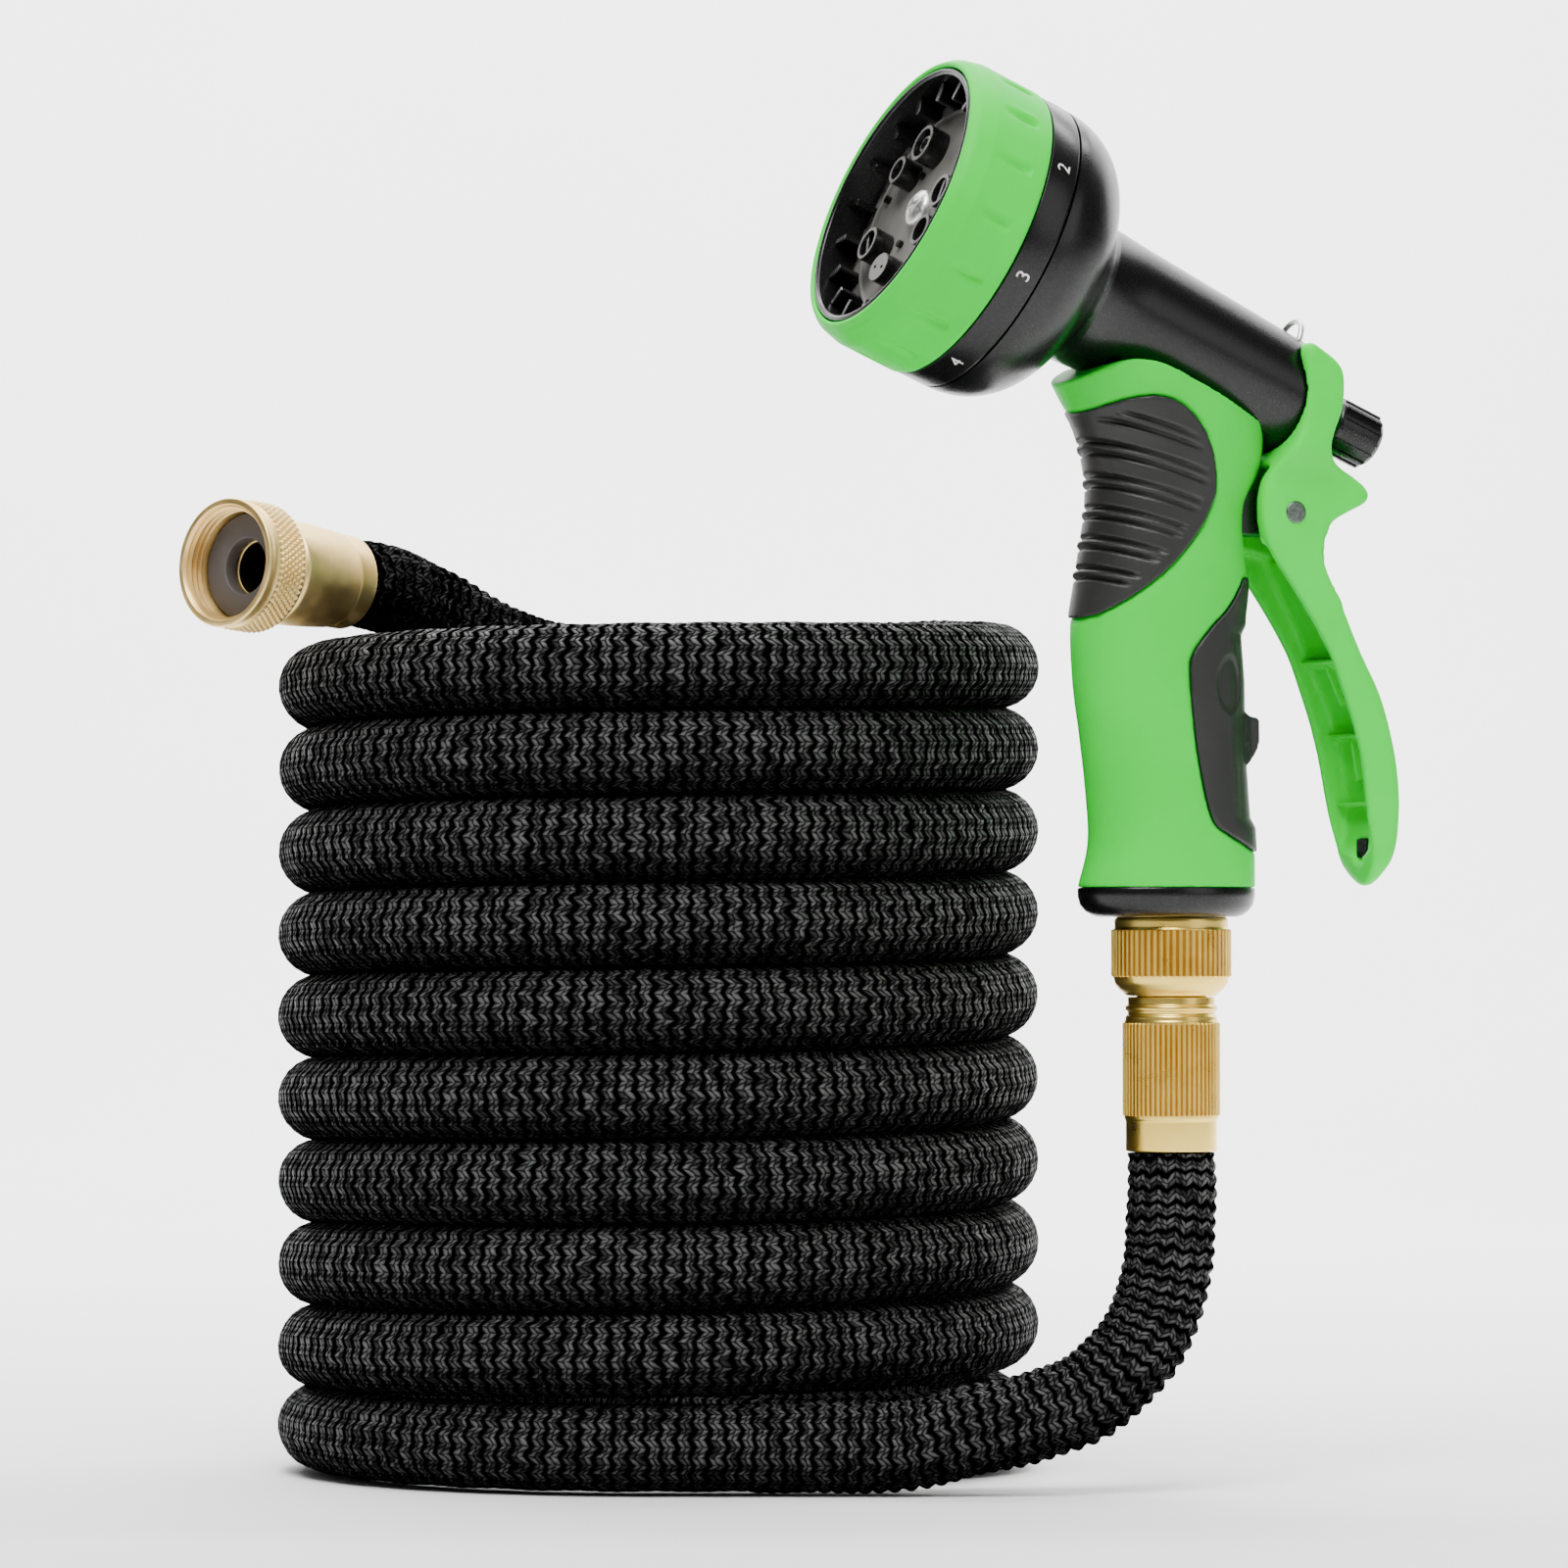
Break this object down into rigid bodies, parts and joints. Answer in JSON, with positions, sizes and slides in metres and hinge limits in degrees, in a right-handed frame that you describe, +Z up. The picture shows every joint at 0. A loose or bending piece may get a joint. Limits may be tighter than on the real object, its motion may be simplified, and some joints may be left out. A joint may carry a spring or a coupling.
{
  "type": "garden hose with spray gun",
  "caption": "Expandable garden hose coiled upright, with brass couplings and a green and black dial spray gun.",
  "frame": {"origin": "on the floor, under the middle of the whole part's box", "axes": "+Z up along the coil's axis, +X to the right towards the spray gun, +Y to the back"},
  "size_m": [0.3032, 0.2408, 0.3471],
  "materials": {
    "braid": "satin",
    "pale_brass": "satin",
    "golden_brass": "polished",
    "washer_rubber": "matte",
    "black_plastic": "satin",
    "pad_rubber": "matte",
    "green_rubber": "matte",
    "green_plastic": "satin",
    "steel": "satin"
  },
  "bodies": {
    "hose": {"hose_coil": "braid", "hose_crossover": "braid", "hose_outlet_end": "braid", "hose_inlet_end": "braid", "outlet_ferrule": "golden_brass", "inlet_ferrule": "pale_brass", "gun_body": "black_plastic", "grip_sleeve": "green_rubber", "finger_pad": "pad_rubber", "palm_pad": "pad_rubber", "catch_wire": "steel"},
    "inlet_coupling": {"inlet_nut": "pale_brass", "inlet_washer": "washer_rubber"},
    "outlet_coupling": {"outlet_nut": "golden_brass"},
    "dial": {"spray_dial": "black_plastic", "dial_grip": "green_rubber", "centre_screw": "steel"},
    "lever": {"trigger": "green_plastic", "trigger_pin": "steel"},
    "stem": {"valve_stem": "steel"},
    "knob": {"flow_knob": "black_plastic"}
  },
  "joints": [
    {"name": "inlet_swivel", "type": "hinge", "parent": "hose", "child": "inlet_coupling", "pos_m": [-0.10548, 0.01373, 0.2242], "axis": [-0.6514, -0.7545, 0.0801], "continuous": true},
    {"name": "outlet_swivel", "type": "hinge", "parent": "hose", "child": "outlet_coupling", "pos_m": [0.09432, -0.05627, 0.1211], "axis": [0, 0, 1], "continuous": true},
    {"name": "dial_turn", "type": "hinge", "parent": "hose", "child": "dial", "pos_m": [0.09432, -0.05627, 0.2813], "axis": [-0.8378, -0.373, 0.3987], "continuous": true},
    {"name": "trigger_squeeze", "type": "hinge", "parent": "hose", "child": "lever", "pos_m": [0.1199, -0.04488, 0.2392], "axis": [-0.4067, 0.9135, 0], "range_deg": [0, 12], "stiffness_Nm_per_rad": 0.8, "springref_deg": -17.19},
    {"name": "stem_pull", "type": "slide", "parent": "hose", "child": "stem", "axis": [0.8378, 0.373, -0.3987], "range_m": [0, 0.0062]},
    {"name": "flow_turn", "type": "hinge", "parent": "stem", "child": "knob", "pos_m": [0.13386, -0.03866, 0.26248], "axis": [0.8378, 0.373, -0.3987], "range_deg": [0, 270]}
  ],
  "couplings": [
    {"joint": "stem_pull", "follows": "trigger_squeeze", "m_per_rad": 0.0269}
  ]
}
